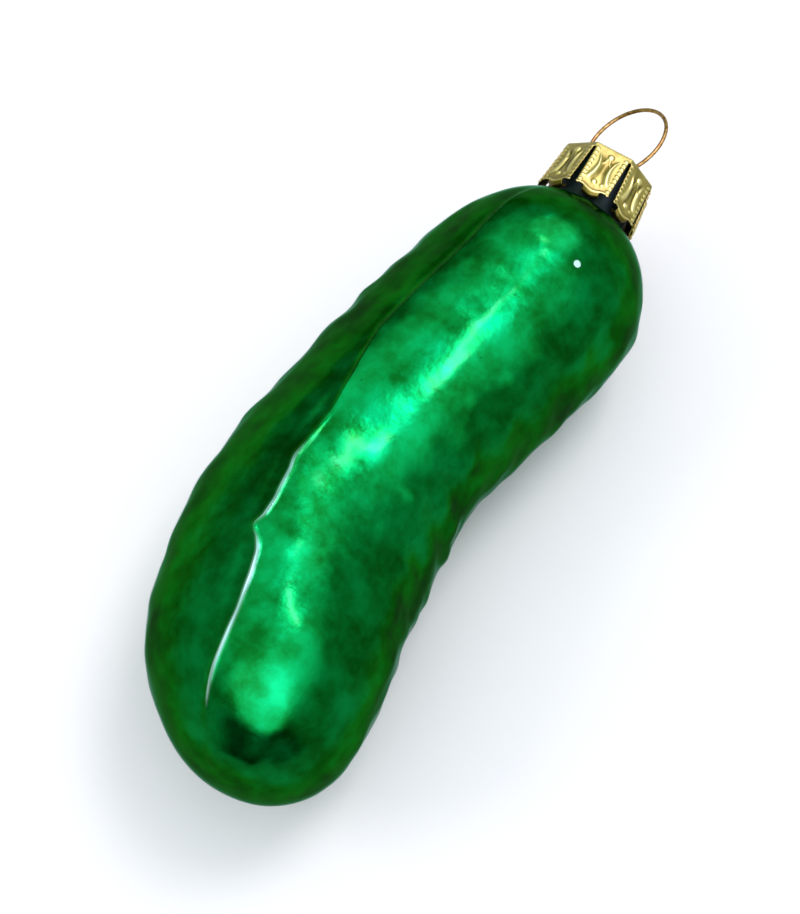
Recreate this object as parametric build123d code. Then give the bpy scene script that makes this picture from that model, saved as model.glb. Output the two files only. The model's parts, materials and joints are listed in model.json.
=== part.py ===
from build123d import *
import os
from math import asin, atan2, cos, degrees, exp, hypot, pi, radians, sin, sqrt, tan

# Blown-glass pickle ornament: a hollow curved body with an open neck, a stamped crown cap and a wire hanger.
# It is modelled with the neck's axis on X and the crown of the shoulder at zero, lying on its side, and is
# set down at the end with the middle of its base at the origin. All sizes are in millimetres and degrees.

# Glass body: the bent centre line and the thickness round it
body_length = 89.6  # tip to the crown of the shoulder, measured along the neck's axis
tip_offset = 1.2  # the tip lies this far sideways of the neck's axis
tip_heading = 4.6  # direction of the centre line where it leaves the tip
bow_offset = 8.5  # the centre line swings this far sideways
bow_distance = 54.75  # crown of the shoulder back to that swing
tip_radius = 15.3  # thickest part, near the tip
shoulder_radius = 14.55  # thickness where the shoulder starts to round in
tip_round = 20.7  # length over which the tip rounds off
shoulder_round = 15.25  # length over which the shoulder rounds in
tip_fullness = 2.11  # 2 is an ellipse, more is squarer
shoulder_fullness = 2.22
glass_wall = 0.9
rest_flat = 0.1  # the underside is flattened by this much, where it lies on a table

# Soft lumps of the skin, and the stepped seam that the two halves of the mould leave
lump_height = 0.3
lump_pitch = 8.0  # along the body
lump_rows = 6  # round the body
lump_lean = 70.0  # each lump row is shifted along by this phase
seam_height = 0.55
seam_angle_tip = 83.0  # from the level of the floor, seen from the cap
seam_angle_neck = 67.0
seam_spread = 24.0  # angle over which the raised side sinks back
seam_step = 2.0  # angle over which the other side drops from the crest

# Neck
neck_radius = 5.5
neck_wall = 0.9
neck_fillet = 0.7
neck_sink = 0.25  # the foot of the neck starts this far inside the shoulder

# Crown cap, stamped from sheet: flat panels with slits between them, ears and curled tongues
sheet = 0.3
panel_count = 8
panel_turn = 4.5  # turn of the cap on the neck
cap_top_flat = 6.3  # middle of a panel to the axis, at the top
cap_ear_flat = 7.05  # the same, at the ends of the ears
skirt_height = 7.4  # top of the cap to the ends of the ears
top_edge_radius = 0.25
slit_start = 0.6  # top of the cap to the start of a slit, along the panel
slit_top = 0.35  # width of a slit at its start
slit_bottom = 1.2  # width of a slit between the ears
ear_width = 0.75
ear_notch = 0.5  # the notch beside an ear is this deep
tongue_width = 3.0
tongue_drop = 0.5  # the curl of a tongue reaches this far below the ears
tongue_curl = 0.75  # radius of the curl, at the middle of the sheet
tongue_gap = 0.2  # tip of a tongue to the neck
tongue_lift = 0.2  # curl of a tongue above the foot of the neck

# Hanger wire: a round loop over the cap and two spread legs through two holes
wire_radius = 0.28
hole_gap = 0.12  # all round the wire in its hole
leg_spacing = 6.2
loop_radius = 5.95  # middle of the wire
foot_bend = 0.8  # radius of the bends between the loop and the legs
loop_lift = 0.1  # start of those bends above the cap
loop_turn = -36.8  # turn of the loop's plane from the level
leg_travel = 3.5  # the loop pulls up this far before the spread legs catch
leg_bend = 4.0  # radius of the bend below the straight of a leg
leg_flare = 7.0
leg_spread_length = 7.0

# How finely the lofts of the body are cut
section_spacing = 2.7
end_sections = 7
half_ring_points = 18
cavity_spacing = 10.0
cavity_end_sections = 5
pole_share = 0.6  # the lofts stop at this share of the neck's radius, inside the neck

panel_slope = atan2(cap_ear_flat - cap_top_flat, skirt_height)
panel_length = hypot(skirt_height, cap_ear_flat - cap_top_flat)
half_panel = pi / panel_count

# The centre line of the body lies level and meets the neck's axis without a kink
heading = radians(tip_heading)
spine = Spline(
    (-body_length, tip_offset),
    (-bow_distance, bow_offset),
    (0, 0),
    tangents=[(cos(heading), sin(heading)), (1, 0), (1, 0)],
)


def rounding(share, fullness):
    """Share of the length of a rounded end, from its pole, at which it reaches this share of its radius."""
    return 1 - (1 - share**fullness) ** (1 / fullness)


# The neck stands on the shoulder, and is as high as the cap needs to clear its foot
foot_radius = neck_radius + neck_fillet
neck_foot = -shoulder_round * rounding(foot_radius / shoulder_radius, shoulder_fullness) - neck_sink
cap_height = neck_foot + neck_fillet + tongue_lift + tongue_drop + skirt_height
neck_height = cap_height - sheet


def stations(inset, spacing, end_steps):
    """Distances along the centre line and radii there, for a skin set in from the outside of the glass."""
    length = spine.length
    first, last = tip_radius - inset, shoulder_radius - inset
    tip_span, shoulder_span = tip_round - inset, shoulder_round - inset
    rows = []
    for step in range(1, end_steps + 1):
        share = sin(pi / 2 * step / end_steps)
        rows.append((inset + tip_span * rounding(share, tip_fullness), first * share))
    barrel = length - tip_round - shoulder_round
    count = max(2, round(barrel / spacing))
    for step in range(1, count):
        rows.append((tip_round + barrel * step / count, first + (last - first) * step / count))
    end_angle = asin(pole_share * neck_radius / last)
    for step in range(end_steps + 1):
        share = sin(pi / 2 + (end_angle - pi / 2) * step / end_steps)
        rows.append((length - inset - shoulder_span * rounding(share, shoulder_fullness), last * share))
    return rows


def belly_lift(distance):
    """Rise of the body's middle over the neck's axis, by which the underside is level from end to end."""
    barrel = spine.length - tip_round - shoulder_round
    share = (spine.length - shoulder_round - distance) / barrel
    return (tip_radius - shoulder_radius) * min(1, max(0, share))


def section_plane(distance):
    """Plane square to the centre line: its first axis is level, its second points up."""
    along = distance / spine.length
    direction = spine % along
    middle = (spine @ along) + Vector(0, 0, belly_lift(distance))
    return Plane(origin=middle, x_dir=(-direction.Y, direction.X, 0), z_dir=direction)


def skin_point(plane, distance, radius, turn):
    """A point of the outside, by its turn from the crest of the seam round to the foot of the step."""
    crest = seam_angle_tip + (seam_angle_neck - seam_angle_tip) * distance / spine.length
    row_wave = cos(radians(lump_rows * (crest + turn)))
    lean = radians(lump_lean) * sin(radians(turn))
    lump = lump_height * row_wave * cos(2 * pi * distance / lump_pitch + lean)
    seam = seam_height * (exp(-turn / seam_spread) + exp((turn - 360) / seam_step))
    reach = radius + (radius / tip_radius) ** 3 * (lump + seam)
    angle = radians(crest + turn)
    return plane.from_local_coords(Vector(reach * cos(angle), reach * sin(angle), 0))


def skin_ring(distance, radius):
    """One section of the outside: two smooth halves that meet in a kink at the crest of the seam."""
    plane = section_plane(distance)
    shares = [step / half_ring_points for step in range(half_ring_points + 1)]
    halves = []
    for turns in ([180 * share for share in shares], [360 - 180 * (1 - share) ** 2 for share in shares]):
        points = [skin_point(plane, distance, radius, turn) for turn in turns]
        halves.append(Edge.make_spline(points, parameters=shares))
    return Wire(halves)


def glass_body():
    """The blown shell: lofted outside and inside, with a straight neck bored through to the hollow."""
    outside = [skin_ring(*row) for row in stations(0, section_spacing, end_sections)]
    shell = Solid.make_loft([Vertex(section_plane(0).origin)] + outside)
    shell = split(shell, bisect_by=Plane.XY.offset(rest_flat - shoulder_radius), keep=Keep.TOP)

    foot_top = neck_foot + neck_fillet
    neck_line = [
        Line((neck_foot, 0), (neck_foot, foot_radius)),
        RadiusArc((neck_foot, foot_radius), (foot_top, neck_radius), neck_fillet),
        Line((foot_top, neck_radius), (neck_height, neck_radius)),
        Line((neck_height, neck_radius), (neck_height, 0)),
        Line((neck_height, 0), (neck_foot, 0)),
    ]
    neck = revolve(make_face(neck_line), Axis.X)

    inside = [
        Wire.make_circle(radius, section_plane(distance))
        for distance, radius in stations(glass_wall, cavity_spacing, cavity_end_sections)
    ]
    hollow = Solid.make_loft([Vertex(section_plane(glass_wall).origin)] + inside, ruled=True)
    bore_radius = neck_radius - neck_wall
    bore_start = -shoulder_round / 2
    bore_plane = Plane(origin=(bore_start, 0, 0), z_dir=(1, 0, 0))
    bore = extrude(bore_plane * Circle(bore_radius), amount=neck_height - bore_start)
    return shell + neck - hollow - bore


def wire_side(along, side):
    """A point in the plane of the hanger's loop, by its place on the neck's axis and beside it."""
    turn = radians(loop_turn)
    return (along, side * cos(turn), side * sin(turn))


def cap_panel():
    """One flat panel with its two ears and the tongue that curls in under the cap to the neck."""
    down = (-cos(panel_slope), 0, sin(panel_slope))
    outward = (sin(panel_slope), 0, cos(panel_slope))
    top_middle = (0, 0, cap_top_flat)

    def half_width(run):
        return (cap_top_flat + run * sin(panel_slope)) * tan(half_panel)

    ear_edge = half_width(panel_length) - slit_bottom / 2
    outline = [
        (half_width(0), 0),
        (half_width(slit_start), slit_start),
        (half_width(slit_start) - slit_top / 2, slit_start),
        (ear_edge, panel_length),
        (ear_edge - ear_width, panel_length),
        (tongue_width / 2, panel_length - ear_notch),
    ]
    mirrored = [(-across, run) for across, run in reversed(outline)]
    plate_plane = Plane(origin=top_middle, x_dir=(0, 1, 0), z_dir=outward)
    plate = extrude(plate_plane * make_face(Polyline(*outline, *mirrored, close=True)), amount=-sheet)

    bend = panel_length + tongue_drop - tongue_curl - sheet / 2
    root = panel_length - ear_notch - sheet
    stem = Line((root, sheet / 2), (bend, sheet / 2))
    curl = JernArc(stem @ 1, (1, 0), tongue_curl, 90 + degrees(panel_slope))
    curl_end = curl @ 1
    reach = cap_top_flat + curl_end.X * sin(panel_slope) - curl_end.Y * cos(panel_slope)
    lip = Line(curl_end, curl_end + (curl % 1) * (reach - neck_radius - tongue_gap))
    side_plane = Plane(origin=top_middle, x_dir=down, z_dir=(0, -1, 0))
    tongue_face = side_plane * trace([stem, curl, lip], line_width=sheet)
    tongue = extrude(tongue_face, amount=tongue_width / 2, both=True)
    return plate + tongue


def crown_cap():
    """The cap: a many-sided top, a skirt of equal panels and the two holes for the hanger."""
    top_plane = Plane(origin=(0, 0, 0), x_dir=(0, 0, 1), z_dir=(1, 0, 0))
    top = RegularPolygon(cap_top_flat, panel_count, major_radius=False, rotation=degrees(half_panel))
    cap = extrude(top_plane * top, amount=-sheet)
    panel = cap_panel()
    for place in range(panel_count):
        cap += Rot(X=360 / panel_count * place) * panel
    rim = cap.edges().filter_by_position(Axis.X, 0, 0, (True, True))
    cap = fillet(rim, top_edge_radius)
    cap = Pos(X=cap_height) * Rot(X=panel_turn) * cap
    for side in (-1, 1):
        hole_plane = Plane(origin=wire_side(cap_height, side * leg_spacing / 2), z_dir=(1, 0, 0))
        cap -= extrude(hole_plane * Circle(wire_radius + hole_gap), amount=sheet, both=True)
    return cap


def hanger_wire():
    """The wire: straight runs and arcs that meet without a kink, the same on both sides."""
    half = leg_spacing / 2
    foot_height = cap_height + loop_lift
    climb = sqrt((loop_radius + foot_bend) ** 2 - (half + foot_bend) ** 2)
    lean = degrees(atan2(climb, half + foot_bend))
    straight_end = cap_height - sheet - leg_travel - hole_gap

    def half_path(side):
        leg = Line((foot_height, side * half), (straight_end, side * half))
        knee = JernArc(leg @ 1, leg % 1, leg_bend, -side * leg_flare)
        spread = Line(knee @ 1, (knee @ 1) + (knee % 1) * leg_spread_length)
        foot = JernArc((foot_height, side * half), (1, 0), foot_bend, side * lean)
        crown = JernArc(foot @ 1, foot % 1, loop_radius, -side * (lean + 90))
        return [leg, knee, spread, foot, crown]

    turn = radians(loop_turn)
    loop_plane = Plane(origin=(0, 0, 0), x_dir=(1, 0, 0), z_dir=(0, -sin(turn), cos(turn)))
    path = loop_plane * Wire(half_path(1) + half_path(-1))
    start = Plane(origin=path @ 0, z_dir=path % 0)
    return sweep(start * Circle(wire_radius), path=path)


parts = {"glass_body": glass_body(), "crown_cap": crown_cap(), "hanger_wire": hanger_wire()}

# Set the ornament down: the middle of its base comes to the origin
box = Compound(list(parts.values())).bounding_box()
set_down = Pos(-box.center().X, -box.center().Y, -box.min.Z)

os.makedirs("parts", exist_ok=True)
for name, solid in parts.items():
    placed = set_down * solid
    placed.label = name
    export_step(placed, f"parts/{name}.step")
    print(name, "volume", round(placed.volume, 1), "valid", placed.is_valid)
print("neck axis crosses the shoulder's crown at", set_down.position)
print("overall size", box.size)
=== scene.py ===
import json
import math

import bmesh
import bpy
import numpy as np
from mathutils import Matrix, Vector

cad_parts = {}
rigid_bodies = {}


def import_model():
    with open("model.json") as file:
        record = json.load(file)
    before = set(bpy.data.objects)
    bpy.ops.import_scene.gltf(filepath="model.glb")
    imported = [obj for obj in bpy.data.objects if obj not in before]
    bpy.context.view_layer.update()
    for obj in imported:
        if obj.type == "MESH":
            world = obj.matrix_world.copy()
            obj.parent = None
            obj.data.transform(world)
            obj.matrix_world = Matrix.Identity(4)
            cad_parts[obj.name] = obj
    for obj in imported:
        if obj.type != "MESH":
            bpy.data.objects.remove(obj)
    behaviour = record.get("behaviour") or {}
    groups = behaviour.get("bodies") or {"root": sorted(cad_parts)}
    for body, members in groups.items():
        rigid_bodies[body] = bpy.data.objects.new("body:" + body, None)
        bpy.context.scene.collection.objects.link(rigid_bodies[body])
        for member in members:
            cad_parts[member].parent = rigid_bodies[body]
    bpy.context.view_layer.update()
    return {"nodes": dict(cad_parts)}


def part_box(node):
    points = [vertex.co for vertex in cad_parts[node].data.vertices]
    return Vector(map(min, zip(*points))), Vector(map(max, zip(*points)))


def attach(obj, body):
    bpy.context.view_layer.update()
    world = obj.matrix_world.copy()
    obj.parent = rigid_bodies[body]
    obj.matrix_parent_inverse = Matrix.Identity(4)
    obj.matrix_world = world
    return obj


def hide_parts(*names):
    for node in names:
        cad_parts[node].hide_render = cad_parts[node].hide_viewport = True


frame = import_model()
print("frame loaded:", ", ".join(sorted(frame["nodes"])))

# Sizes below are in millimetres and degrees, and go into the scene in metres
mm = 0.001
capHeight = 7.47  # top of the cap over the crown of the shoulder
capLow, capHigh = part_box("crown_cap")
axisY = (capLow.y + capHigh.y) / 2 / mm
axisZ = (capLow.z + capHigh.z) / 2 / mm
crown = np.array([capHigh.x / mm - capHeight, axisY, axisZ])  # crown of the shoulder, on the neck's axis


def smoothStep(low, high, value):
    share = np.clip((value - low) / (high - low), 0, 1)
    return share * share * (3 - 2 * share)


def stretch(value, start, full, wane, end):
    # rises from nought at start to one at full, and sinks back from wane to end
    return smoothStep(start, full, value) * (1 - smoothStep(wane, end, value))


def hill(value, middle, spread):
    return np.exp(-(((value - middle) / spread) ** 2))


def softCurve(value, knots, blur):
    # the line through the knots, averaged over a short reach so that its corners are soft
    spots, heights = np.array(knots).T
    shifts = blur * np.array([-1, -0.5, 0, 0.5, 1])
    return np.mean([np.interp(value + shift, spots, heights) for shift in shifts], 0)


def softWaves(points, length, seed, count=28):
    # smooth random swell in space, about one unit high, with waves of roughly the given length
    rng = np.random.RandomState(seed)
    swell = np.zeros(points.shape[:-1])
    for _ in range(count):
        direction = rng.normal(size=3)
        direction *= rng.uniform(0.6, 1.4) / np.linalg.norm(direction)
        swell += np.sin(points @ direction * 2 * math.pi / length + rng.uniform(0, 2 * math.pi))
    return swell / math.sqrt(count / 2)


def makeObject(name, points, faces, smooth=True):
    mesh = bpy.data.meshes.new(name)
    mesh.from_pydata((np.asarray(points) * mm).tolist(), [], faces)
    mesh.update()
    if smooth:
        mesh.polygons.foreach_set("use_smooth", [True] * len(mesh.polygons))
    piece = bpy.data.objects.new(name, mesh)
    bpy.context.scene.collection.objects.link(piece)
    return piece


def addAttribute(piece, name, values):
    attribute = piece.data.attributes.new(name, "FLOAT", "POINT")
    attribute.data.foreach_set("value", np.asarray(values, dtype=np.float32))


def makeMaterial(name):
    material = bpy.data.materials.new(name)
    material.use_nodes = True
    nodes, links = material.node_tree.nodes, material.node_tree.links
    shader = nodes["Principled BSDF"]

    def add(kind, **settings):
        node = nodes.new(kind)
        for key, value in settings.items():
            if hasattr(node, key):
                setattr(node, key, value)
            else:
                node.inputs[key].default_value = value
        return node

    def link(source, target):
        links.new(source, target)

    place = add("ShaderNodeTexCoord")
    scale = add("ShaderNodeMapping")
    scale.inputs["Scale"].default_value = (1 / mm, 1 / mm, 1 / mm)
    link(place.outputs["Object"], scale.inputs["Vector"])
    return material, shader, add, link, scale.outputs["Vector"]


def ramp(add, link, source, stops):
    node = add("ShaderNodeValToRGB")
    elements = node.color_ramp.elements
    while len(elements) < len(stops):
        elements.new(0.5)
    for element, (position, colour) in zip(elements, stops):
        element.position = position
        element.color = (*colour, 1)
    link(source, node.inputs["Fac"])
    return node.outputs["Color"]


def grey(level):
    return (level, level, level)


# Glass body: the bent centre line, the thickness round it, and the lumps and folds of its skin.
# A distance runs from the tip along the centre line, an angle round it from the level of the floor,
# and a turn is the angle from the seam. A stretch gives where it starts, is full, wanes and ends.
pickle = {
    "length": 89.6,
    "tipOffset": 1.2,
    "tipHeading": 4.6,
    "bowOffset": 8.5,
    "bowDistance": 54.75,
    "pulls": (1.226, 1.0472, 1.0472, 1.3655),  # strength of the curve's ends, as shares of its two chords
    "tipRadius": 15.3,
    "shoulderRadius": 14.55,
    "tipRound": 20.7,
    "shoulderRound": 15.25,
    "tipFullness": 2.11,
    "shoulderFullness": 2.22,
    "wall": 0.9,
    # rows of the mesh on the tip, the barrel and the shoulder, and the radius where the skin ends
    "outerSteps": (44, 150, 40),
    "outerEnd": 5.72,
    "innerSteps": (16, 40, 14),
    "innerEnd": 4.75,
    "sideColumns": 126,
    "rightEvenness": 0.22,  # 1 spaces the columns evenly, less crowds them at the seam
    "leftEvenness": 0.14,
    # outside and inside of the neck: distance past the crown of the shoulder, and radius
    "neck": [(-0.66, 5.56), (-0.55, 5.5), (0.6, 5.5), (2.0, 5.5), (3.5, 5.5), (5.0, 5.5), (6.5, 5.5),
             (7.0, 5.47), (7.13, 5.38), (7.17, 5.25), (7.17, 4.85), (7.11, 4.68), (6.9, 4.6), (4.0, 4.6),
             (1.5, 4.6), (-1.0, 4.6)],
    "neckLinedRows": 4,  # the last rows of the neck, which have the silver lining
    "neckHalf": 45,  # past this distance the relief fades towards the neck
    "neckFade": (5.6, 9.5),
    "shoulderPaintedShade": (6.4, 9.2),  # radii between which the shoulder is darkened towards the neck with painted shade
    # the mould's seam: distance, angle
    "seam": [(4, 69), (6.8, 70), (10.3, 72), (14.3, 76), (17.5, 78.5), (21.8, 80.3), (24.7, 80.3),
             (26.7, 77), (27.3, 73), (28.4, 77.3), (31, 79), (35.1, 78.5), (36.4, 76.8), (38.5, 77.8),
             (43.8, 78.5), (49, 74), (55.1, 67), (60, 65.5), (90, 64.5)],
    "seamBlur": 0.6,
    "seamRun": (3.5, 10, 79, 88),
    "seamHeight": 0.55,
    "seamSpread": 24.0,
    "seamStep": 1.8,
    "seamLow": (36, 52),  # the step is wider, and has a lip, up to these distances
    "seamWiden": 1.6,
    "seamLip": (0.12, 0.6, 1.6),  # height, turn, spread
    "seamGroove": (0.05, -5.0, 3.0),
    "leftFacet": (0.42, 46, 17),  # depth, angle, spread
    "leftFacetRun": (8, 20, 76, 88),
    # swells of the two sides of the outline: distance, and how far the skin stands out
    "leftSwell": [(0, 0), (6, -0.55), (14, 0.1), (21, 0.5), (30, 0.2), (38, -0.1), (48, -0.5), (57, 0.1),
                  (66, 0.6), (75, 0.3), (84, -0.8), (90, -0.3)],
    "rightSwell": [(0, 0.3), (4, 0.7), (9, -0.2), (16, -0.9), (24, 0.1), (33, 0.95), (42, 0.2), (51, -0.75),
                   (60, -0.5), (68, -0.2), (79, 0.7), (88, 0.2)],
    "leftSide": 12,
    "rightSide": 192,
    "swellBlur": 3,
    # lumps on the side that shows: distance, angle, height, spread
    "lumps": [(67.1, 134, 0.30, 1.8), (62.0, 133, 0.34, 1.6), (56.7, 126, 0.20, 1.3),
              (52.6, 137, 0.30, 1.9), (48.0, 129, 0.16, 1.7), (41.6, 138, 0.26, 1.9),
              (35.0, 134, 0.18, 1.8), (28.6, 131, 0.14, 2.0), (71.2, 151, 0.42, 1.7),
              (64.5, 155, 0.50, 1.9), (57.9, 150, 0.48, 1.7), (51.2, 147, 0.52, 1.6),
              (44.4, 153, 0.52, 1.7), (38.0, 156, 0.46, 1.8), (31.4, 152, 0.38, 1.8),
              (24.9, 150, 0.28, 1.9)],
    "lumpStretch": 1.25,  # a lump is this much wider round the body than along it
    "lumpRows": (171, 190, 211, 234, 258, 282, 306, 330, 352, 12),  # angles of the rows that don't show
    "lumpRun": (10, 80),
    "lumpPitch": 6.7,
    "lumpHeight": 0.36,
    "lumpSpread": 2.1,
    "lumpSeed": 7,
    # the blunt edge above the tip, and the nearly flat facet below it
    "bluntSides": (62, 78, 108, 130),
    "bluntStart": (0.6, 1.8),
    "bluntDistance": 5.6,
    "bluntRadius": 11.37,
    "bluntBendFrom": 102,  # past this angle the edge bends away from the tip
    "bluntBend": 0.0045,
    "bluntBendLift": 0.85,
    "bluntHeight": 0.5,
    "bluntFade": 5.5,
    "bluntSoftness": 0.04,
    "bluntLimits": (-0.3, 2),
    # the shallow saddle on the top, where the bright streak ends
    "saddleDepth": 0.9,
    "saddleRun": (40, 13),  # distance, spread
    "saddleAngle": 101,
    "saddleSides": (22, 52),  # spread to the left and to the right
    "unevenness": [(0.05, 13.0, 3), (0.024, 5.0, 5), (0.008, 2.7, 9)],  # height, wave length, seed
    "calmTop": (0.75, 106, 17),  # share taken off, angle, spread
    "livelySide": (122, 140, 200, 220),
    "livelyShare": 0.7,
    # painted highlight along the seam's crest, where it catches the light
    "crestHighlightMost": 0.8,
    "crestHighlightLow": (6, 8, 23, 27.5),
    "crestHighlightMiddle": (27, 28.5, 32, 40),
    "crestHighlightMiddleShare": 0.35,
    "crestHighlightAcross": (0.4, 0.8),  # turn, spread
    "crestHighlightWaves": (5.0, 11),  # wave length, seed
}


def curveRun(start, end, startPull, endPull, count=500):
    u = np.linspace(0, 1, count)[:, None]
    ends = (2 * u**3 - 3 * u**2 + 1) * start + (3 * u**2 - 2 * u**3) * end
    return ends + (u**3 - 2 * u**2 + u) * startPull + (u**3 - u**2) * endPull


def makeCentreLine(p):
    tipTurn = math.radians(p["tipHeading"])
    tip = np.array([-p["length"], p["tipOffset"]])
    bow = np.array([-p["bowDistance"], p["bowOffset"]])
    neck = np.zeros(2)
    level = np.array([1.0, 0.0])
    first, second = np.linalg.norm(bow - tip), np.linalg.norm(neck - bow)
    leave = np.array([math.cos(tipTurn), math.sin(tipTurn)])
    pulls = p["pulls"]
    line = np.vstack([
        curveRun(tip, bow, pulls[0] * first * leave, pulls[1] * first * level),
        curveRun(bow, neck, pulls[2] * second * level, pulls[3] * second * level)[1:],
    ])
    run = np.concatenate([[0], np.cumsum(np.hypot(*np.diff(line, axis=0).T))])
    heading = np.gradient(line, run, axis=0)
    return line, run, heading / np.linalg.norm(heading, axis=1)[:, None]


centreLine, centreRun, centreHeading = makeCentreLine(pickle)
lineLength = centreRun[-1]


def skinPoint(distance, radius, angle):
    # a point round the centre line, which runs on straight past the crown as the neck's axis
    p = pickle
    x = np.interp(distance, centreRun, centreLine[:, 0]) + np.maximum(0, distance - lineLength)
    y = np.interp(distance, centreRun, centreLine[:, 1])
    ahead = np.interp(distance, centreRun, centreHeading[:, 0])
    aside = np.interp(distance, centreRun, centreHeading[:, 1])
    barrel = lineLength - p["tipRound"] - p["shoulderRound"]
    rise = np.clip((lineLength - p["shoulderRound"] - distance) / barrel, 0, 1)
    level = radius * np.cos(np.radians(angle))
    height = (p["tipRadius"] - p["shoulderRadius"]) * rise + radius * np.sin(np.radians(angle))
    return np.stack([x - aside * level, y + ahead * level, height], -1) + crown


def roundEnd(share, fullness):
    return 1 - (1 - share**fullness) ** (1 / fullness)


def skinRows(inset, steps, lastRadius):
    # distances and radii from the tip to where the shoulder meets the neck
    p = pickle
    tipSteps, barrelSteps, shoulderSteps = steps
    first, last = p["tipRadius"] - inset, p["shoulderRadius"] - inset
    share = np.sin(np.linspace(0, math.pi / 2, tipSteps + 1)[1:])
    tip = [inset + (p["tipRound"] - inset) * roundEnd(share, p["tipFullness"]), first * share]
    mix = np.linspace(0, 1, barrelSteps + 1)[1:-1]
    barrelLength = lineLength - p["tipRound"] - p["shoulderRound"]
    barrel = [p["tipRound"] + barrelLength * mix, first + (last - first) * mix]
    share = np.sin(np.linspace(math.pi / 2, math.asin(lastRadius / last), shoulderSteps + 1))
    reach = (p["shoulderRound"] - inset) * roundEnd(share, p["shoulderFullness"])
    shoulder = [lineLength - inset - reach, last * share]
    return np.hstack([np.array(tip), np.array(barrel), np.array(shoulder)]).T


def seamRelief(distance, turn):
    # a long slope on one side of the crest and a step on the other
    p = pickle
    low = 1 - smoothStep(*p["seamLow"], distance)
    step = p["seamStep"] * (1 + p["seamWiden"] * low)
    slope = np.exp(-np.abs(turn) / p["seamSpread"])
    seam = p["seamHeight"] * np.where(turn >= 0, slope, np.exp(-np.abs(turn) / step))
    lip, lipTurn, lipSpread = p["seamLip"]
    groove, grooveTurn, grooveSpread = p["seamGroove"]
    seam += lip * low * hill(turn, lipTurn, lipSpread) - groove * hill(turn, grooveTurn, grooveSpread)
    return stretch(distance, *p["seamRun"]) * seam


def lumpSpots():
    # the lumps that show, then rows of like lumps round the rest, each moved and sized at random
    p = pickle
    spots = list(p["lumps"])
    rng = np.random.RandomState(p["lumpSeed"])
    for row, turnAt in enumerate(p["lumpRows"]):
        for place in np.arange(*p["lumpRun"], p["lumpPitch"]):
            spot = place + p["lumpPitch"] * (0.5 * (row % 2) + rng.uniform(-0.18, 0.18))
            height = p["lumpHeight"] * rng.uniform(0.5, 1.25)
            spread = p["lumpSpread"] * rng.uniform(0.8, 1.2)
            spots.append((spot, turnAt + rng.uniform(-3, 3), height, spread))
    return spots


def bluntRelief(distance, radius, angle):
    # the top breaks off in a blunt edge above the tip, over a nearly flat facet
    p = pickle
    window = stretch(angle, *p["bluntSides"]) * smoothStep(*p["bluntStart"], distance)
    bend = p["bluntBend"] * np.maximum(0, angle - p["bluntBendFrom"]) ** 2
    edge = distance - p["bluntDistance"] - bend
    plateau = p["bluntHeight"] * np.exp(-np.maximum(edge, 0) / p["bluntFade"])
    facet = np.clip(p["bluntRadius"] + p["bluntBendLift"] * bend + edge - radius, *p["bluntLimits"])
    soft = p["bluntSoftness"]
    return window * -soft * np.log(np.exp(-plateau / soft) + np.exp(-facet / soft))


def skinRelief(distance, radius, turn, angle, points):
    # how far the skin stands out from the plain form, by its place on the body
    p = pickle
    fade = (radius / p["tipRadius"]) ** 3
    relief = seamRelief(distance, turn)

    depth, facetAngle, spread = p["leftFacet"]
    wrapped = (angle + 180) % 360 - 180
    relief -= depth * stretch(distance, *p["leftFacetRun"]) * hill(wrapped, facetAngle, spread)

    for spot, turnAt, height, spread in lumpSpots():
        arc = np.radians((angle - turnAt + 180) % 360 - 180) * radius
        away = ((distance - spot) / spread) ** 2 + (arc / (p["lumpStretch"] * spread)) ** 2
        relief += fade * height * np.exp(-away)

    for side, swell in ((p["leftSide"], p["leftSwell"]), (p["rightSide"], p["rightSwell"])):
        facing = np.maximum(0, np.cos(np.radians(angle - side))) ** 2
        relief += facing * softCurve(distance, swell, p["swellBlur"])

    relief += bluntRelief(distance, radius, angle)
    saddleSpread = np.where(angle < p["saddleAngle"], *p["saddleSides"])
    relief -= p["saddleDepth"] * hill(distance, *p["saddleRun"]) * hill(angle, p["saddleAngle"], saddleSpread)

    uneven = sum(height * softWaves(points, length, seed) for height, length, seed in p["unevenness"])
    calm, calmAngle, calmSpread = p["calmTop"]
    lively = p["livelyShare"] * stretch(angle, *p["livelySide"])
    rough = 1 - calm * hill(angle, calmAngle, calmSpread) + lively
    return relief + np.minimum(1, fade * 1.2) * rough * uneven


def skinWear(distance, turn, points):
    # painted highlight, in a pale silver colour: the crest of the seam's lower half
    p = pickle
    low = stretch(distance, *p["crestHighlightLow"])
    middle = p["crestHighlightMiddleShare"] * stretch(distance, *p["crestHighlightMiddle"])
    rubbed = np.clip(0.75 + 0.3 * softWaves(points, *p["crestHighlightWaves"]), 0.25, 1)
    return np.clip(p["crestHighlightMost"] * rubbed * (low + middle) * hill(turn, *p["crestHighlightAcross"]), 0, 1)


def crowded(share, evenness):
    return evenness * share + (1 - evenness) * share * share


def bodyFaces(rowCount, columnCount):
    # rings of quads, then a fan at the outer and the inner tip, which are the last two corners
    faces = []
    for row in range(rowCount - 1):
        here, beyond = row * columnCount, (row + 1) * columnCount
        for column in range(columnCount):
            nextColumn = (column + 1) % columnCount
            faces.append((here + column, beyond + column, beyond + nextColumn, here + nextColumn))
    lastRow = (rowCount - 1) * columnCount
    outPole = rowCount * columnCount
    inPole = outPole + 1
    for column in range(columnCount):
        nextColumn = (column + 1) % columnCount
        faces.append((outPole, column, nextColumn))
        faces.append((inPole, lastRow + nextColumn, lastRow + column))
    return faces


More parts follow.
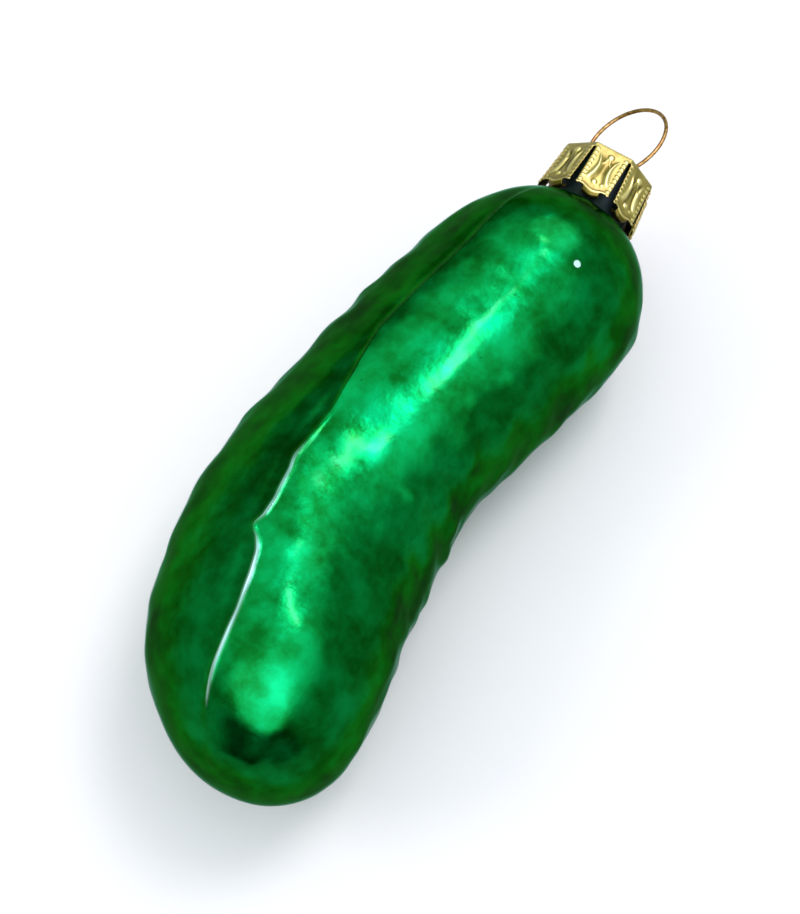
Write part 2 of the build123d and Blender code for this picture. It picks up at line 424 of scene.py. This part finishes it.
def makeBody():
    p = pickle
    outer = skinRows(0, p["outerSteps"], p["outerEnd"])
    neck = np.array(p["neck"]) + (lineLength, 0)
    inner = skinRows(p["wall"], p["innerSteps"], p["innerEnd"])[::-1]
    rows = np.vstack([outer, neck, inner])
    rightTurns = 180 * crowded(np.linspace(0, 1, p["sideColumns"]), p["rightEvenness"])
    leftTurns = -180 * crowded(np.linspace(1, 0, p["sideColumns"]), p["leftEvenness"])[1:-1]
    turns = np.concatenate([rightTurns, leftTurns])
    distance, radius = rows[:, :1], rows[:, 1:]
    angle = softCurve(distance, p["seam"], p["seamBlur"]) + turns[None, :]
    turn = np.broadcast_to(turns[None, :], angle.shape)
    distance, radius = np.broadcast_to(distance, angle.shape), np.broadcast_to(radius, angle.shape)
    plain = skinPoint(distance, radius, angle)

    skin = slice(0, len(outer))
    neckward = distance[skin] > p["neckHalf"]
    relief = np.zeros_like(angle)
    relief[skin] = skinRelief(distance[skin], radius[skin], turn[skin], angle[skin], plain[skin])
    relief[skin] *= np.where(neckward, smoothStep(*p["neckFade"], radius[skin]), 1)
    points = skinPoint(distance, radius + relief, angle)
    points[..., 2] = np.maximum(points[..., 2], 0)
    tips = skinPoint(np.array([0, p["wall"]]), np.zeros(2), np.zeros(2))
    rowCount, columnCount = angle.shape
    corners = np.vstack([points.reshape(-1, 3), tips])
    body = makeObject("pickleGlass", corners, bodyFaces(rowCount, columnCount))

    worn, shade = np.zeros_like(angle), np.zeros_like(angle)
    # painted highlight on the seam's crest
    worn[skin] = skinWear(distance[skin], turn[skin], plain[skin])
    # painted shade: the shoulder's skin darkens towards the neck, where shade falls under the cap
    shade[skin] = neckward * (1 - smoothStep(*p["shoulderPaintedShade"], radius[skin]))
    for name, values in (("worn", worn), ("shade", shade)):
        addAttribute(body, name, np.append(values.ravel(), [0, 0]))

    for material in (greenLacquer(), silverLining(), darkNeck()):
        body.data.materials.append(material)
    green, lining, bare = 0, 1, 2  # places in the list of materials
    # the neck's rows take a near-black finish: bare glass darkened with painted shade under the cap
    finish = np.full(rowCount - 1, green)
    finish[len(outer) - 1:] = bare
    finish[len(outer) + len(neck) - p["neckLinedRows"]:] = lining
    finishes = list(np.repeat(finish, columnCount)) + [green, lining] * columnCount
    body.data.polygons.foreach_set("material_index", finishes)
    return body


lacquer = {
    "deep": (0.000, 0.054, 0.0037),
    "middle": (0.000, 0.094, 0.0118),
    "light": (0.000, 0.140, 0.025),
    "speck": (0.0, 0.012, 0.002),
    # colour of the painted shade on the shoulder next to the neck
    "shoulderPaintedShade": (0.0, 0.010, 0.003),
    # pale silver of the painted glint dot and the painted crest highlight
    "thin": (0.42, 0.60, 0.54),
    # a small white dot of painted glint: where it sits, and its radius
    "glintDot": (21.24, -10.08, 27.65),
    "glintRadius": 0.55,
    "edgeTint": (0.05, 0.40, 0.22),
    "roughness": (0.17, 0.26),
    "coat": 0.06,
    "coatRoughness": 0.10,
    "coatIndex": 1.3,
    "lining": [(0.35, (0.36, 0.36, 0.34)), (0.65, (0.62, 0.62, 0.60))],
    # near-black tones of the neck: painted shade over the bare glass
    "bareNeckPaintedShade": [(0.35, (0.002, 0.008, 0.004)), (0.7, (0.004, 0.022, 0.010))],
}


def greenLacquer():
    material, shader, add, link, place = makeMaterial("greenLacquer")
    cloud = add("ShaderNodeTexNoise", Scale=0.11, Detail=3.0, Roughness=0.55)
    patch = add("ShaderNodeTexNoise", Scale=0.30, Detail=4.0, Roughness=0.6)
    for node in (cloud, patch):
        link(place, node.inputs["Vector"])
    both = add("ShaderNodeMath", operation="ADD")
    link(cloud.outputs["Fac"], both.inputs[0])
    link(patch.outputs["Fac"], both.inputs[1])
    half = add("ShaderNodeMath", operation="MULTIPLY")
    half.inputs[1].default_value = 0.5
    link(both.outputs[0], half.inputs[0])
    greens = [(0.40, lacquer["deep"]), (0.5, lacquer["middle"]), (0.61, lacquer["light"])]
    colour = ramp(add, link, half.outputs[0], greens)

    # tiny dark specks in the lacquer
    speck = add("ShaderNodeTexVoronoi", Scale=0.22, Randomness=1.0)
    link(place, speck.inputs["Vector"])
    speckMask = ramp(add, link, speck.outputs["Distance"], [(0.015, grey(0.7)), (0.03, grey(0))])
    dust = add("ShaderNodeMix", data_type="RGBA")
    link(speckMask, dust.inputs["Factor"])
    link(colour, dust.inputs["A"])
    dust.inputs["B"].default_value = (*lacquer["speck"], 1)

    # a painted glint dot and the painted highlight on the seam's crest, both in a pale silver colour
    dotAway = add("ShaderNodeVectorMath", operation="DISTANCE")
    link(place, dotAway.inputs[0])
    dotAway.inputs[1].default_value = lacquer["glintDot"]
    bare = add("ShaderNodeMapRange", interpolation_type="SMOOTHSTEP")
    bare.inputs["From Min"].default_value = lacquer["glintRadius"]
    bare.inputs["From Max"].default_value = 0.75 * lacquer["glintRadius"]
    link(dotAway.outputs["Value"], bare.inputs["Value"])
    wear = add("ShaderNodeMath", operation="MAXIMUM")
    link(bare.outputs["Result"], wear.inputs[0])
    link(add("ShaderNodeAttribute", attribute_name="worn").outputs["Fac"], wear.inputs[1])
    rubbed = add("ShaderNodeMix", data_type="RGBA")
    link(wear.outputs[0], rubbed.inputs["Factor"])
    link(dust.outputs["Result"], rubbed.inputs["A"])
    rubbed.inputs["B"].default_value = (*lacquer["thin"], 1)
    # painted shade on the shoulder next to the neck
    shaded = add("ShaderNodeMix", data_type="RGBA")
    link(add("ShaderNodeAttribute", attribute_name="shade").outputs["Fac"], shaded.inputs["Factor"])
    link(rubbed.outputs["Result"], shaded.inputs["A"])
    shaded.inputs["B"].default_value = (*lacquer["shoulderPaintedShade"], 1)
    link(shaded.outputs["Result"], shader.inputs["Base Color"])

    low, high = lacquer["roughness"]
    sheen = ramp(add, link, patch.outputs["Fac"], [(0.3, grey(low)), (0.7, grey(high))])
    link(sheen, shader.inputs["Roughness"])
    fine = add("ShaderNodeTexNoise", Scale=0.9, Detail=3.0, Roughness=0.5)
    link(place, fine.inputs["Vector"])
    bump = add("ShaderNodeBump", Strength=0.35, Distance=0.00006)
    link(fine.outputs["Fac"], bump.inputs["Height"])
    link(bump.outputs["Normal"], shader.inputs["Normal"])
    shader.inputs["Metallic"].default_value = 1.0
    shader.inputs["Specular Tint"].default_value = (*lacquer["edgeTint"], 1)
    shader.inputs["Coat Weight"].default_value = lacquer["coat"]
    shader.inputs["Coat Roughness"].default_value = lacquer["coatRoughness"]
    shader.inputs["Coat IOR"].default_value = lacquer["coatIndex"]
    return material


def silverLining():
    material, shader, add, link, place = makeMaterial("silverLining")
    tarnish = add("ShaderNodeTexNoise", Scale=0.25, Detail=4.0)
    link(place, tarnish.inputs["Vector"])
    link(ramp(add, link, tarnish.outputs["Fac"], lacquer["lining"]), shader.inputs["Base Color"])
    sheen = ramp(add, link, tarnish.outputs["Fac"], [(0.3, grey(0.28)), (0.7, grey(0.45))])
    link(sheen, shader.inputs["Roughness"])
    shader.inputs["Metallic"].default_value = 1.0
    return material


# bare glass of the neck, painted near black as the shade under the cap
def darkNeck():
    material, shader, add, link, place = makeMaterial("darkNeck")
    stain = add("ShaderNodeTexNoise", Scale=0.6, Detail=3.0)
    link(place, stain.inputs["Vector"])
    link(ramp(add, link, stain.outputs["Fac"], lacquer["bareNeckPaintedShade"]), shader.inputs["Base Color"])
    shader.inputs["Roughness"].default_value = 0.5
    shader.inputs["Specular IOR Level"].default_value = 0.2
    return material


body = makeBody()
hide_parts("glass_body")
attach(body, "glass_body")
print("glass body:", len(body.data.polygons), "faces")

# Crown cap: eight stamped panels, each a sheet that runs from the flat top over the edge and down the skirt.
# A run is measured down the panel from its top edge, and across from the panel's middle line.
crownCap = {
    "panels": 8,
    "turn": 94.5,  # middle of the first panel, from the level
    "topFlat": 6.3,
    "earFlat": 7.05,
    "skirt": 7.4,
    "edgeRadius": 0.35,
    "sheet": 0.22,
    "slitStart": 0.7,
    "slitRound": 0.35,
    "slitTop": 0.20,
    "slitBottom": 0.58,
    "earRun": 7.2,
    "earDrop": (0.16, 0.84, 0.9),  # drop, and the shares of the half width where it starts and is full
    "earTrim": (0.10, 0.95, 1.0),
    "tongueRun": 7.65,
    "tongueHalf": 1.55,
    "tongueShare": 0.74,
    "tongueCurl": 0.5,
    "tongueSink": 0.12,
    "tongueGap": 0.02,
    "tongueRound": (0.72, 0.28, 0.62),  # least reach of the curl, what its middle adds, half width of that
    "curlBend": 200,
    "teeth": 13,
    "toothHeight": 0.05,
    "columns": 52,
    "diskRows": 4,
    "edgeRows": 6,
    "plateRows": 78,
    "curlRows": 14,
    "diskReach": 5.2,
    "holeSpacing": 6.2,
    "holeRadius": 0.42,
    "holeCorners": 24,
    "loopTurn": -36.8,
    # the stamped pattern
    "embossFrom": (0.4, 0.8),
    "beads": 9,
    "beadHeight": 0.15,
    "beadInset": 0.34,
    "beadStart": 1.0,
    "beadPitch": 0.70,
    "beadSize": (0.26, 0.19),
    # across, run, size, height
    "dots": [(0.1, 1.55, 0.46, 0.26), (-0.25, 6.1, 0.40, 0.22), (0.9, 6.15, 0.30, 0.12)],
    "strokeHeight": 0.20,
    "strokeAside": (0.86, 0.52),  # at the waist, and what its ends add
    "strokeWaist": (3.7, 2.2),
    "strokeRun": (1.15, 2.6, 5.5, 6.3),
    "strokeWidth": (0.16, 0.22),
    "strokeWiden": (2.4, 5.2),
    "grooveDepth": 0.07,
    "grooveAside": 0.5,
    "grooveWidth": 0.24,
    "veinHeight": 0.09,
    "veinAside": (0.16, 0.55),
    "veinSpread": (1.8, 3.6),
    "veinRun": (1.7, 2.1, 3.0, 3.9),
    "veinWidth": 0.13,
    "hem": (0.10, 0.16, 0.13),  # height, distance from the lower edge, spread
    "hemGroove": (0.03, 0.5, 0.16),
}


def panelEmboss(across, run, halfWidth):
    # stamped relief of a panel: beads beside the slits, dots, two curved strokes and two veins
    c = crownCap
    side = np.abs(across)
    relief = np.zeros_like(across)
    beadAcross, beadAlong = c["beadSize"]
    edgeward = ((side - halfWidth + c["beadInset"]) / beadAcross) ** 4
    for bead in range(c["beads"]):
        lengthwise = ((run - c["beadStart"] - c["beadPitch"] * bead) / beadAlong) ** 2
        relief += c["beadHeight"] * np.exp(-edgeward - lengthwise)
    for dotAcross, dotRun, dotSize, dotHeight in c["dots"]:
        away = np.hypot(across - dotAcross, run - dotRun) / dotSize
        relief += dotHeight * np.sqrt(np.clip(1 - away**2, 0, 1))

    waist, waistReach = c["strokeWaist"]
    nearest, further = c["strokeAside"]
    thin, wider = c["strokeWidth"]
    taper = stretch(run, *c["strokeRun"])
    width = thin + wider * smoothStep(*c["strokeWiden"], run)
    for hand in (-1, 1):
        middle = hand * (nearest + further * ((run - waist) / waistReach) ** 2)
        relief += c["strokeHeight"] * taper * hill(across, middle, width)
        relief -= c["grooveDepth"] * taper * hill(across - middle, -hand * c["grooveAside"], c["grooveWidth"])

    veinStart, veinOut = c["veinAside"]
    vein = veinStart + veinOut * smoothStep(*c["veinSpread"], run)
    relief += c["veinHeight"] * stretch(run, *c["veinRun"]) * hill(side, vein, c["veinWidth"])
    return relief


def panelRows(u, slope, half):
    # rows of one panel: height over the cap's top, reach from the axis, place across, stamped relief
    c = crownCap
    edge = c["edgeRadius"]
    flat = np.zeros_like(u)
    rows = []

    def addRow(run, reach, across, lift):
        height = -run * math.cos(slope) + lift * math.sin(slope)
        rows.append((height, reach + lift * math.cos(slope), across, lift))

    for reach in np.linspace(c["diskReach"], c["topFlat"] - edge, c["diskRows"]):
        rows.append((flat, flat + reach, u * reach * math.tan(half), flat))

    teeth = c["toothHeight"] * (np.cos(u * math.pi * c["teeth"]) * 0.5 + 0.5)
    for step in range(1, c["edgeRows"] + 1):
        bend = (math.pi / 2 - slope) * step / c["edgeRows"]
        reach = c["topFlat"] - edge + edge * math.sin(bend)
        tooth = teeth * math.sin(math.pi * step / (c["edgeRows"] + 1))
        height = flat - edge + edge * math.cos(bend) + tooth * math.cos(bend)
        rows.append((height, flat + reach + tooth * math.sin(bend), u * reach * math.tan(half), tooth))

    tongue = 0.5 * (1 + np.cos(math.pi * np.clip(np.abs(u) / c["tongueShare"], 0, 1)))
    bottom = c["earRun"] + (c["tongueRun"] - c["earRun"]) * tongue
    for (drop, start, full), hand in ((c["earDrop"], 1), (c["earTrim"], -1)):
        bottom = bottom + hand * drop * smoothStep(start, full, np.abs(u))
    hemHeight, hemAway, hemSpread = c["hem"]
    grooveDepth, grooveAway, grooveSpread = c["hemGroove"]
    for step in range(1, c["plateRows"] + 1):
        run = edge + (bottom - edge) * step / c["plateRows"]
        reach = c["topFlat"] + run * math.sin(slope)
        opening = smoothStep(c["slitStart"], c["slitStart"] + c["slitRound"], run)
        gap = opening * (c["slitTop"] + (c["slitBottom"] - c["slitTop"]) * run / c["earRun"])
        halfWidth = reach * math.tan(half) - gap
        across = u * halfWidth
        lift = panelEmboss(across, run, halfWidth) * smoothStep(*c["embossFrom"], run)
        lift += hemHeight * hill(run, bottom - hemAway, hemSpread)
        lift -= grooveDepth * hill(run, bottom - grooveAway, grooveSpread)
        addRow(run, reach, across, lift)

    curl = c["tongueCurl"]
    least, more, roundHalf = c["tongueRound"]
    roundness = least + more * np.sqrt(np.clip(1 - (u / roundHalf) ** 2, 0, 1))
    across = u * ((c["topFlat"] + bottom * math.sin(slope)) * math.tan(half) - c["slitBottom"])
    for step in range(1, c["curlRows"] + 1):
        bend = math.radians(c["curlBend"]) * step / c["curlRows"]
        run = bottom + c["tongueGap"] + curl * math.sin(bend) * roundness
        lift = flat - c["tongueSink"] - curl + curl * math.cos(bend)
        addRow(run, c["topFlat"] + run * math.sin(slope), across, lift)
    return rows


def makeCap():
    c = crownCap
    slope = math.atan2(c["earFlat"] - c["topFlat"], c["skirt"])
    half = math.pi / c["panels"]
    u = np.linspace(-1, 1, c["columns"] + 1)
    width = len(u)
    lowest = (c["topFlat"] + c["tongueRun"] * math.sin(slope)) * math.tan(half)
    onTongue = np.abs(u * lowest) < c["tongueHalf"]
    upward = np.array([1, 0, 0])
    place = crown + np.array([capHeight, 0, 0])
    corners, relief, faces = [], [], []
    for panel in range(c["panels"]):
        middle = math.radians(c["turn"]) + panel * 2 * half
        outward = np.array([0, math.cos(middle), math.sin(middle)])
        sideways = np.array([0, -math.sin(middle), math.cos(middle)])
        start = len(corners)
        rows = panelRows(u, slope, half)
        for height, reach, across, lift in rows:
            spots = place + height[:, None] * upward + reach[:, None] * outward
            corners.extend(spots + across[:, None] * sideways)
            relief.extend(lift)
        plateEnd = len(rows) - c["curlRows"]
        for row in range(len(rows) - 1):
            for column in range(width - 1):
                if row >= plateEnd - 1 and not (onTongue[column] and onTongue[column + 1]):
                    continue
                a = start + row * width + column
                faces.append((a, a + 1, a + width + 1, a + width))
    cap = makeObject("crownCapBrass", corners, faces)
    addAttribute(cap, "stamped", relief)
    return cap


def closeCap(cap):
    # weld the panels, close the top round the two wire holes, and give the sheet its thickness
    c = crownCap
    work = bmesh.new()
    work.from_mesh(cap.data)
    bmesh.ops.delete(work, geom=[v for v in work.verts if not v.link_faces], context="VERTS")
    bmesh.ops.remove_doubles(work, verts=work.verts, dist=0.004 * mm)
    top = (crown[0] + capHeight) * mm
    rim = [e for e in work.edges if e.is_boundary and all(abs(v.co.x - top) < 1e-7 for v in e.verts)]
    middle = Vector(crown * mm)
    turn = math.radians(c["loopTurn"])
    count = c["holeCorners"]
    for hand in (-1, 1):
        aside = hand * c["holeSpacing"] / 2 * mm
        spot = Vector((top, middle.y + aside * math.cos(turn), middle.z + aside * math.sin(turn)))
        ring = []
        for step in range(count):
            bend = 2 * math.pi * step / count
            offset = Vector((0, math.cos(bend), math.sin(bend))) * c["holeRadius"] * mm
            ring.append(work.verts.new(spot + offset))
        for step in range(count):
            rim.append(work.edges.new((ring[step], ring[(step + 1) % count])))
    filled = bmesh.ops.triangle_fill(work, use_beauty=True, use_dissolve=False, edges=rim, normal=(1, 0, 0))
    for face in filled["geom"]:
        if isinstance(face, bmesh.types.BMFace):
            face.smooth = True
    bmesh.ops.recalc_face_normals(work, faces=work.faces)
    outwards = sum((f.normal.x for f in work.faces if abs(f.calc_center_median().x - top) < 1e-6), 0.0)
    if outwards < 0:
        bmesh.ops.reverse_faces(work, faces=work.faces)
    work.to_mesh(cap.data)
    work.free()
    thick = cap.modifiers.new("sheet", "SOLIDIFY")
    thick.thickness = c["sheet"] * mm
    thick.offset = -1
    thick.use_even_offset = False
    bpy.context.view_layer.objects.active = cap
    cap.select_set(True)
    bpy.ops.object.modifier_apply(modifier="sheet")
    cap.select_set(False)


brass = {
    "capPaintedShade": (0.075, 0.060, 0.008),
    "capFace": (0.26, 0.215, 0.045),
    "capPaintedHighlight": (0.46, 0.40, 0.13),
    "stampedRange": (-0.06, 0.22),  # relief that gets the painted shade of the recesses and the painted highlight of the crests
    "wireDark": (0.13, 0.065, 0.012),
    "wireLight": (0.30, 0.18, 0.05),
}


def stampedBrass():
    material, shader, add, link, place = makeMaterial("stampedBrass")
    stamped = add("ShaderNodeAttribute", attribute_name="stamped")
    level = add("ShaderNodeMapRange")
    level.inputs["From Min"].default_value = brass["stampedRange"][0]
    level.inputs["From Max"].default_value = brass["stampedRange"][1]
    link(stamped.outputs["Fac"], level.inputs["Value"])
    cloud = add("ShaderNodeTexNoise", Scale=0.8, Detail=5.0, Roughness=0.6)
    link(place, cloud.inputs["Vector"])
    mottled = add("ShaderNodeMath", operation="MULTIPLY_ADD")
    mottled.inputs[1].default_value = 0.35
    link(cloud.outputs["Fac"], mottled.inputs[0])
    link(level.outputs["Result"], mottled.inputs[2])
    # painted shade in the stamped recesses and painted highlight on the raised crests, set by the stamped
    # relief
    stops = [(0.2, brass["capPaintedShade"]), (0.42, brass["capFace"]), (0.95, brass["capPaintedHighlight"])]
    link(ramp(add, link, mottled.outputs[0], stops), shader.inputs["Base Color"])
    grain = add("ShaderNodeTexNoise", Scale=9.0, Detail=2.0)
    link(place, grain.inputs["Vector"])
    sheen = ramp(add, link, grain.outputs["Fac"], [(0.3, grey(0.30)), (0.7, grey(0.44))])
    link(sheen, shader.inputs["Roughness"])
    bump = add("ShaderNodeBump", Strength=0.25, Distance=0.00003)
    link(grain.outputs["Fac"], bump.inputs["Height"])
    link(bump.outputs["Normal"], shader.inputs["Normal"])
    shader.inputs["Metallic"].default_value = 1.0
    return material


def drawnBrass():
    material, shader, add, link, place = makeMaterial("drawnBrass")
    streak = add("ShaderNodeTexNoise", Scale=1.6, Detail=4.0, Roughness=0.65)
    link(place, streak.inputs["Vector"])
    stops = [(0.35, brass["wireDark"]), (0.62, brass["wireLight"])]
    link(ramp(add, link, streak.outputs["Fac"], stops), shader.inputs["Base Color"])
    sheen = ramp(add, link, streak.outputs["Fac"], [(0.3, grey(0.2)), (0.7, grey(0.36))])
    link(sheen, shader.inputs["Roughness"])
    bump = add("ShaderNodeBump", Strength=0.2, Distance=0.00002)
    link(streak.outputs["Fac"], bump.inputs["Height"])
    link(bump.outputs["Normal"], shader.inputs["Normal"])
    shader.inputs["Metallic"].default_value = 1.0
    return material


cap = makeCap()
closeCap(cap)
cap.data.materials.append(stampedBrass())
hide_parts("crown_cap")
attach(cap, "crown_cap")
print("crown cap:", len(cap.data.polygons), "faces")

hanger = frame["nodes"]["hanger_wire"]
hanger.data.materials.clear()
hanger.data.materials.append(drawnBrass())
print("hanger wire finished")

# Floor, lamps, and the room that the gloss mirrors
studio = {
    "floorSize": 6400.0,
    "floorColour": 0.95,
    "skyColour": (0.93, 0.98, 1.0),
    "skyStrength": 0.82,
    "roomRadius": 3000.0,
    "roomRings": 24,
    "roomSteps": 64,
    "roomLevel": 1.0,
    "brightest": 8.0,
    "dimTone": (0.85, 1.0, 0.9),
    "brightTone": (1.0, 1.0, 2.1),
    # lit and unlit parts of the room: direction, angle from it that is full, angle where it ends, light
    "roomParts": [((0, 0, 1), 8, 58, 1.7), ((-0.58, -0.36, 0.73), 12, 36, 5.0),
                  ((0, -0.57, 0.82), 5, 34, 1.6), ((0.72, -0.10, 0.68), 5, 22, 4.0),
                  ((-0.88, -0.40, 0.18), 24, 44, -0.95), ((0.66, 0.72, 0.20), 15, 42, -0.5),
                  ((0.55, 0.40, 0.73), 8, 28, 0.8)],
    "lampAim": 15,  # height over the floor that the lamps face
    # the strips show only in the gloss, the two others only as light on the floor
    "stripDistance": 2500,
    "stripColour": (0.70, 0.36, 1.0),
    "topColour": (0.62, 0.42, 1.0),
    "keyColour": (1.0, 0.96, 0.93),
    "sideColour": (1.0, 0.97, 0.95),
}


def makeFloor():
    reach = studio["floorSize"] / 2
    corners = [(-reach, -reach, 0), (reach, -reach, 0), (reach, reach, 0), (-reach, reach, 0)]
    floor = makeObject("floor", corners, [(0, 1, 2, 3)], smooth=False)
    material, shader, add, link, place = makeMaterial("paleFloor")
    paper = add("ShaderNodeTexNoise", Scale=0.05, Detail=2.0)
    link(place, paper.inputs["Vector"])
    level = studio["floorColour"]
    tone = [(0.3, (level * 0.985, level * 0.985, level)), (0.7, (level, level, level * 1.01))]
    link(ramp(add, link, paper.outputs["Fac"], tone), shader.inputs["Base Color"])
    shader.inputs["Roughness"].default_value = 0.6
    shader.inputs["Specular IOR Level"].default_value = 0.2
    floor.data.materials.append(material)


def makeRoom():
    # a dome with soft lights, seen only in the gloss
    s = studio
    rings, count = s["roomRings"], s["roomSteps"]
    corners, faces = [], []
    for ring in range(rings):
        rise = math.pi / 2 * ring / rings
        for step in range(count):
            bend = 2 * math.pi * step / count
            flat = s["roomRadius"] * math.cos(rise)
            corners.append((flat * math.cos(bend), flat * math.sin(bend), s["roomRadius"] * math.sin(rise)))
    for ring in range(rings - 1):
        for step in range(count):
            a, b = ring * count, ring * count + count
            nextStep = (step + 1) % count
            faces.append((a + step, a + nextStep, b + nextStep, b + step))
    top = len(corners)
    corners.append((0, 0, s["roomRadius"]))
    for step in range(count):
        faces.append((top - count + step, top - count + (step + 1) % count, top))
    room = makeObject("room", corners, faces)
    material, shader, add, link, place = makeMaterial("roomLight")
    towards = add("ShaderNodeVectorMath", operation="NORMALIZE")
    link(place, towards.inputs[0])
    level = None
    for direction, full, ends, light in s["roomParts"]:
        facing = add("ShaderNodeVectorMath", operation="DOT_PRODUCT")
        link(towards.outputs["Vector"], facing.inputs[0])
        facing.inputs[1].default_value = Vector(direction).normalized()
        part = add("ShaderNodeMapRange", interpolation_type="SMOOTHSTEP")
        part.inputs["From Min"].default_value = math.cos(math.radians(ends))
        part.inputs["From Max"].default_value = math.cos(math.radians(full))
        part.inputs["To Max"].default_value = light
        link(facing.outputs["Value"], part.inputs["Value"])
        total = add("ShaderNodeMath", operation="ADD")
        total.inputs[1].default_value = s["roomLevel"]
        link(part.outputs["Result"], total.inputs[0])
        if level:
            link(level, total.inputs[1])
        level = total.outputs[0]
    shader.inputs["Base Color"].default_value = (0, 0, 0, 1)
    shader.inputs["Specular IOR Level"].default_value = 0.0
    share = add("ShaderNodeMath", operation="MULTIPLY")
    share.inputs[1].default_value = 1 / s["brightest"]
    link(level, share.inputs[0])
    tones = [(0.1, s["dimTone"]), (1.0, s["brightTone"])]
    link(ramp(add, link, share.outputs[0], tones), shader.inputs["Emission Color"])
    link(level, shader.inputs["Emission Strength"])
    room.data.materials.append(material)
    room.visible_camera = False
    room.visible_diffuse = False
    room.visible_shadow = False
    room.visible_transmission = False


def addLamp(name, direction, side, distance, size, light, colour, seenIn):
    # an area lamp that faces the ornament; side is the direction of its first side, light its radiance
    lamp = bpy.data.lights.new(name, "AREA")
    lamp.shape = "RECTANGLE"
    lamp.size, lamp.size_y = size[0] * mm, size[1] * mm
    lamp.energy = light * math.pi * lamp.size * lamp.size_y
    lamp.color = colour
    holder = bpy.data.objects.new(name, lamp)
    facing = Vector(direction).normalized()
    across = facing.cross(Vector(side)).normalized()
    turn = Matrix((across.cross(facing), across, facing)).transposed()
    spot = facing * distance * mm + Vector((0, 0, studio["lampAim"] * mm))
    holder.matrix_world = Matrix.Translation(spot) @ turn.to_4x4()
    holder.visible_diffuse = seenIn != "gloss"
    holder.visible_glossy = seenIn != "floor"
    bpy.context.scene.collection.objects.link(holder)


def addLamps():
    far, violet = studio["stripDistance"], studio["stripColour"]
    addLamp("upperStrip", direction=(0.362, -0.150, 0.920), side=(-0.72, -0.67, 0.18), distance=far,
            size=(420, 110), light=140, colour=violet, seenIn="gloss")
    addLamp("lowerStrip", direction=(0.276, -0.298, 0.914), side=(-0.27, -0.94, -0.23), distance=far,
            size=(485, 100), light=170, colour=violet, seenIn="gloss")
    addLamp("topStrip", direction=(0.565, 0.000, 0.825), side=(-0.5, -0.8, 0), distance=far,
            size=(280, 220), light=55, colour=studio["topColour"], seenIn="gloss")
    addLamp("keyLamp", direction=(0.44, -0.17, 0.88), side=(1, 0, 0), distance=700,
            size=(260, 260), light=7.0, colour=studio["keyColour"], seenIn="floor")
    addLamp("sideLamp", direction=(-0.45, 0.75, 0.62), side=(1, 0, 0), distance=800,
            size=(360, 360), light=3.5, colour=studio["sideColour"], seenIn="floor")


def makeSky():
    world = bpy.data.worlds.new("studioSky")
    bpy.context.scene.world = world
    world.use_nodes = True
    sky = world.node_tree.nodes["Background"]
    sky.inputs["Color"].default_value = (*studio["skyColour"], 1)
    sky.inputs["Strength"].default_value = studio["skyStrength"]


makeFloor()
makeRoom()
makeSky()
addLamps()
print("floor, room and lamps in place")

camera = {
    "place": (-92.82, -47.64, 238.65),
    "target": (-1.52, 2.16, 0.0),
    "roll": 0.46,
    "focal": 1950.0,  # in pixels of the 800 by 914 image
    "imageHeight": 914.0,
    "sensor": 36.0,
    "clip": (0.005, 20),  # in metres
}


def makeCamera():
    c = camera
    view = bpy.data.cameras.new("photoView")
    view.sensor_fit = "AUTO"
    view.sensor_width = c["sensor"]
    view.lens = c["focal"] / c["imageHeight"] * c["sensor"]
    view.clip_start, view.clip_end = c["clip"]
    holder = bpy.data.objects.new("photoView", view)
    bpy.context.scene.collection.objects.link(holder)
    place, target = Vector(c["place"]), Vector(c["target"])
    aim = (target - place).to_track_quat("-Z", "Y").to_matrix()
    roll = Matrix.Rotation(math.radians(c["roll"]), 3, "Z")
    holder.matrix_world = Matrix.Translation(place * mm) @ (aim @ roll).to_4x4()
    bpy.context.scene.camera = holder


makeCamera()
bpy.context.scene.view_settings.view_transform = "Standard"
